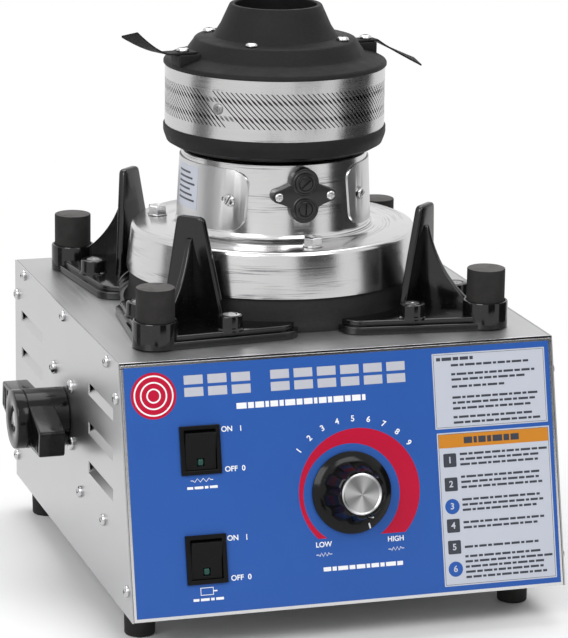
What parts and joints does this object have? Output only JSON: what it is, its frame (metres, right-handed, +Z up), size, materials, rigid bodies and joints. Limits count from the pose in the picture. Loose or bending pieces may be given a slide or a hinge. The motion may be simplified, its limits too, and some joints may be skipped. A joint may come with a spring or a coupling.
{
  "type": "electric cotton candy machine",
  "caption": "Table-top electric cotton candy machine: slanted steel cabinet with knob and rocker switches, brush housing on the deck, and a heated, slotted spinning head with strap vanes.",
  "frame": {"origin": "on the underside of the base pan, on the axis that the head spins about", "axes": "+Z up along the spin axis, -Y toward the control panel, +X to the right as seen from the front"},
  "size_m": [0.4, 0.4232, 0.469],
  "materials": {
    "stainless": "brushed stainless sheet",
    "turned": "turned aluminium",
    "zinc": "bright zinc plate",
    "dark_steel": "plain dull steel",
    "bronze": "sintered bronze",
    "cast_black": "casting with a matte black coat",
    "moulded_black": "glossy black moulding",
    "rubber": "charcoal rubber",
    "label": "printed blue film",
    "carbon": "pressed carbon",
    "lens": "clear green lamp lens"
  },
  "bodies": {
    "cabinet": {"base_pan": "stainless", "top_cover": "stainless", "left_side_panel": "stainless", "right_side_panel": "stainless", "rear_panel": "stainless", "cord_gland": "moulded_black", "control_panel": "stainless", "control_label": "label", "heat_switch_body": "moulded_black", "master_switch_body": "moulded_black", "heat_control": "dark_steel", "foot_front_left": "rubber", "foot_front_right": "rubber", "foot_rear_left": "rubber", "foot_rear_right": "rubber", "bracket_front_left": "moulded_black", "bracket_front_right": "moulded_black", "bracket_rear_left": "moulded_black", "bracket_rear_right": "moulded_black", "bumper_front_left": "rubber", "bumper_front_right": "rubber", "bumper_rear_left": "rubber", "bumper_rear_right": "rubber", "collar": "cast_black", "brush_housing": "turned", "housing_neck": "turned", "housing_bolt_front": "zinc", "housing_bolt_right": "zinc", "housing_bolt_left": "zinc", "cover_plate_left": "stainless", "cover_plate_right": "stainless", "brush_plate": "moulded_black", "brush_cap_lower": "moulded_black", "brush_cap_upper": "moulded_black", "carbon_brush_lower": "carbon", "carbon_brush_upper": "carbon", "motor_case": "dark_steel", "shaft_bush_lower": "bronze", "shaft_bush_upper": "bronze", "side_control": "moulded_black"},
    "spinner": {"main_shaft": "dark_steel", "cooling_fan": "dark_steel", "slip_ring_hub": "moulded_black", "slip_ring_lower": "bronze", "slip_ring_upper": "bronze", "head_base": "cast_black", "head_band": "turned", "head_cover": "cast_black", "heater_ribbon": "dark_steel", "vane_left": "cast_black", "vane_right": "cast_black"},
    "heat_rocker": {"heat_switch_rocker": "moulded_black", "heat_switch_lens": "lens"},
    "master_rocker": {"master_switch_rocker": "moulded_black", "master_switch_lens": "lens"},
    "heat_dial": {"heat_knob": "moulded_black", "knob_cap": "turned", "heat_spindle": "dark_steel"},
    "side_dial": {"side_knob": "moulded_black", "side_knob_screw": "zinc"}
  },
  "joints": [
    {"name": "head_spin", "type": "hinge", "parent": "cabinet", "child": "spinner", "pos_m": [0, 0, 0.33], "axis": [0, 0, 1], "continuous": true},
    {"name": "heat_switch_rock", "type": "hinge", "parent": "cabinet", "child": "heat_rocker", "pos_m": [-0.117, -0.19542, 0.12549], "axis": [-1, 0, 0], "range_deg": [0, 24]},
    {"name": "master_switch_rock", "type": "hinge", "parent": "cabinet", "child": "master_rocker", "pos_m": [-0.117, -0.21514, 0.04342], "axis": [-1, 0, 0], "range_deg": [0, 24]},
    {"name": "heat_knob_turn", "type": "hinge", "parent": "cabinet", "child": "heat_dial", "pos_m": [0.003, -0.20691, 0.08536], "axis": [0, -0.9723, 0.2336], "range_deg": [0, 300]},
    {"name": "side_knob_turn", "type": "hinge", "parent": "cabinet", "child": "side_dial", "pos_m": [-0.178, -0.003, 0.104], "axis": [-1, 0, 0], "range_deg": [0, 90]}
  ]
}
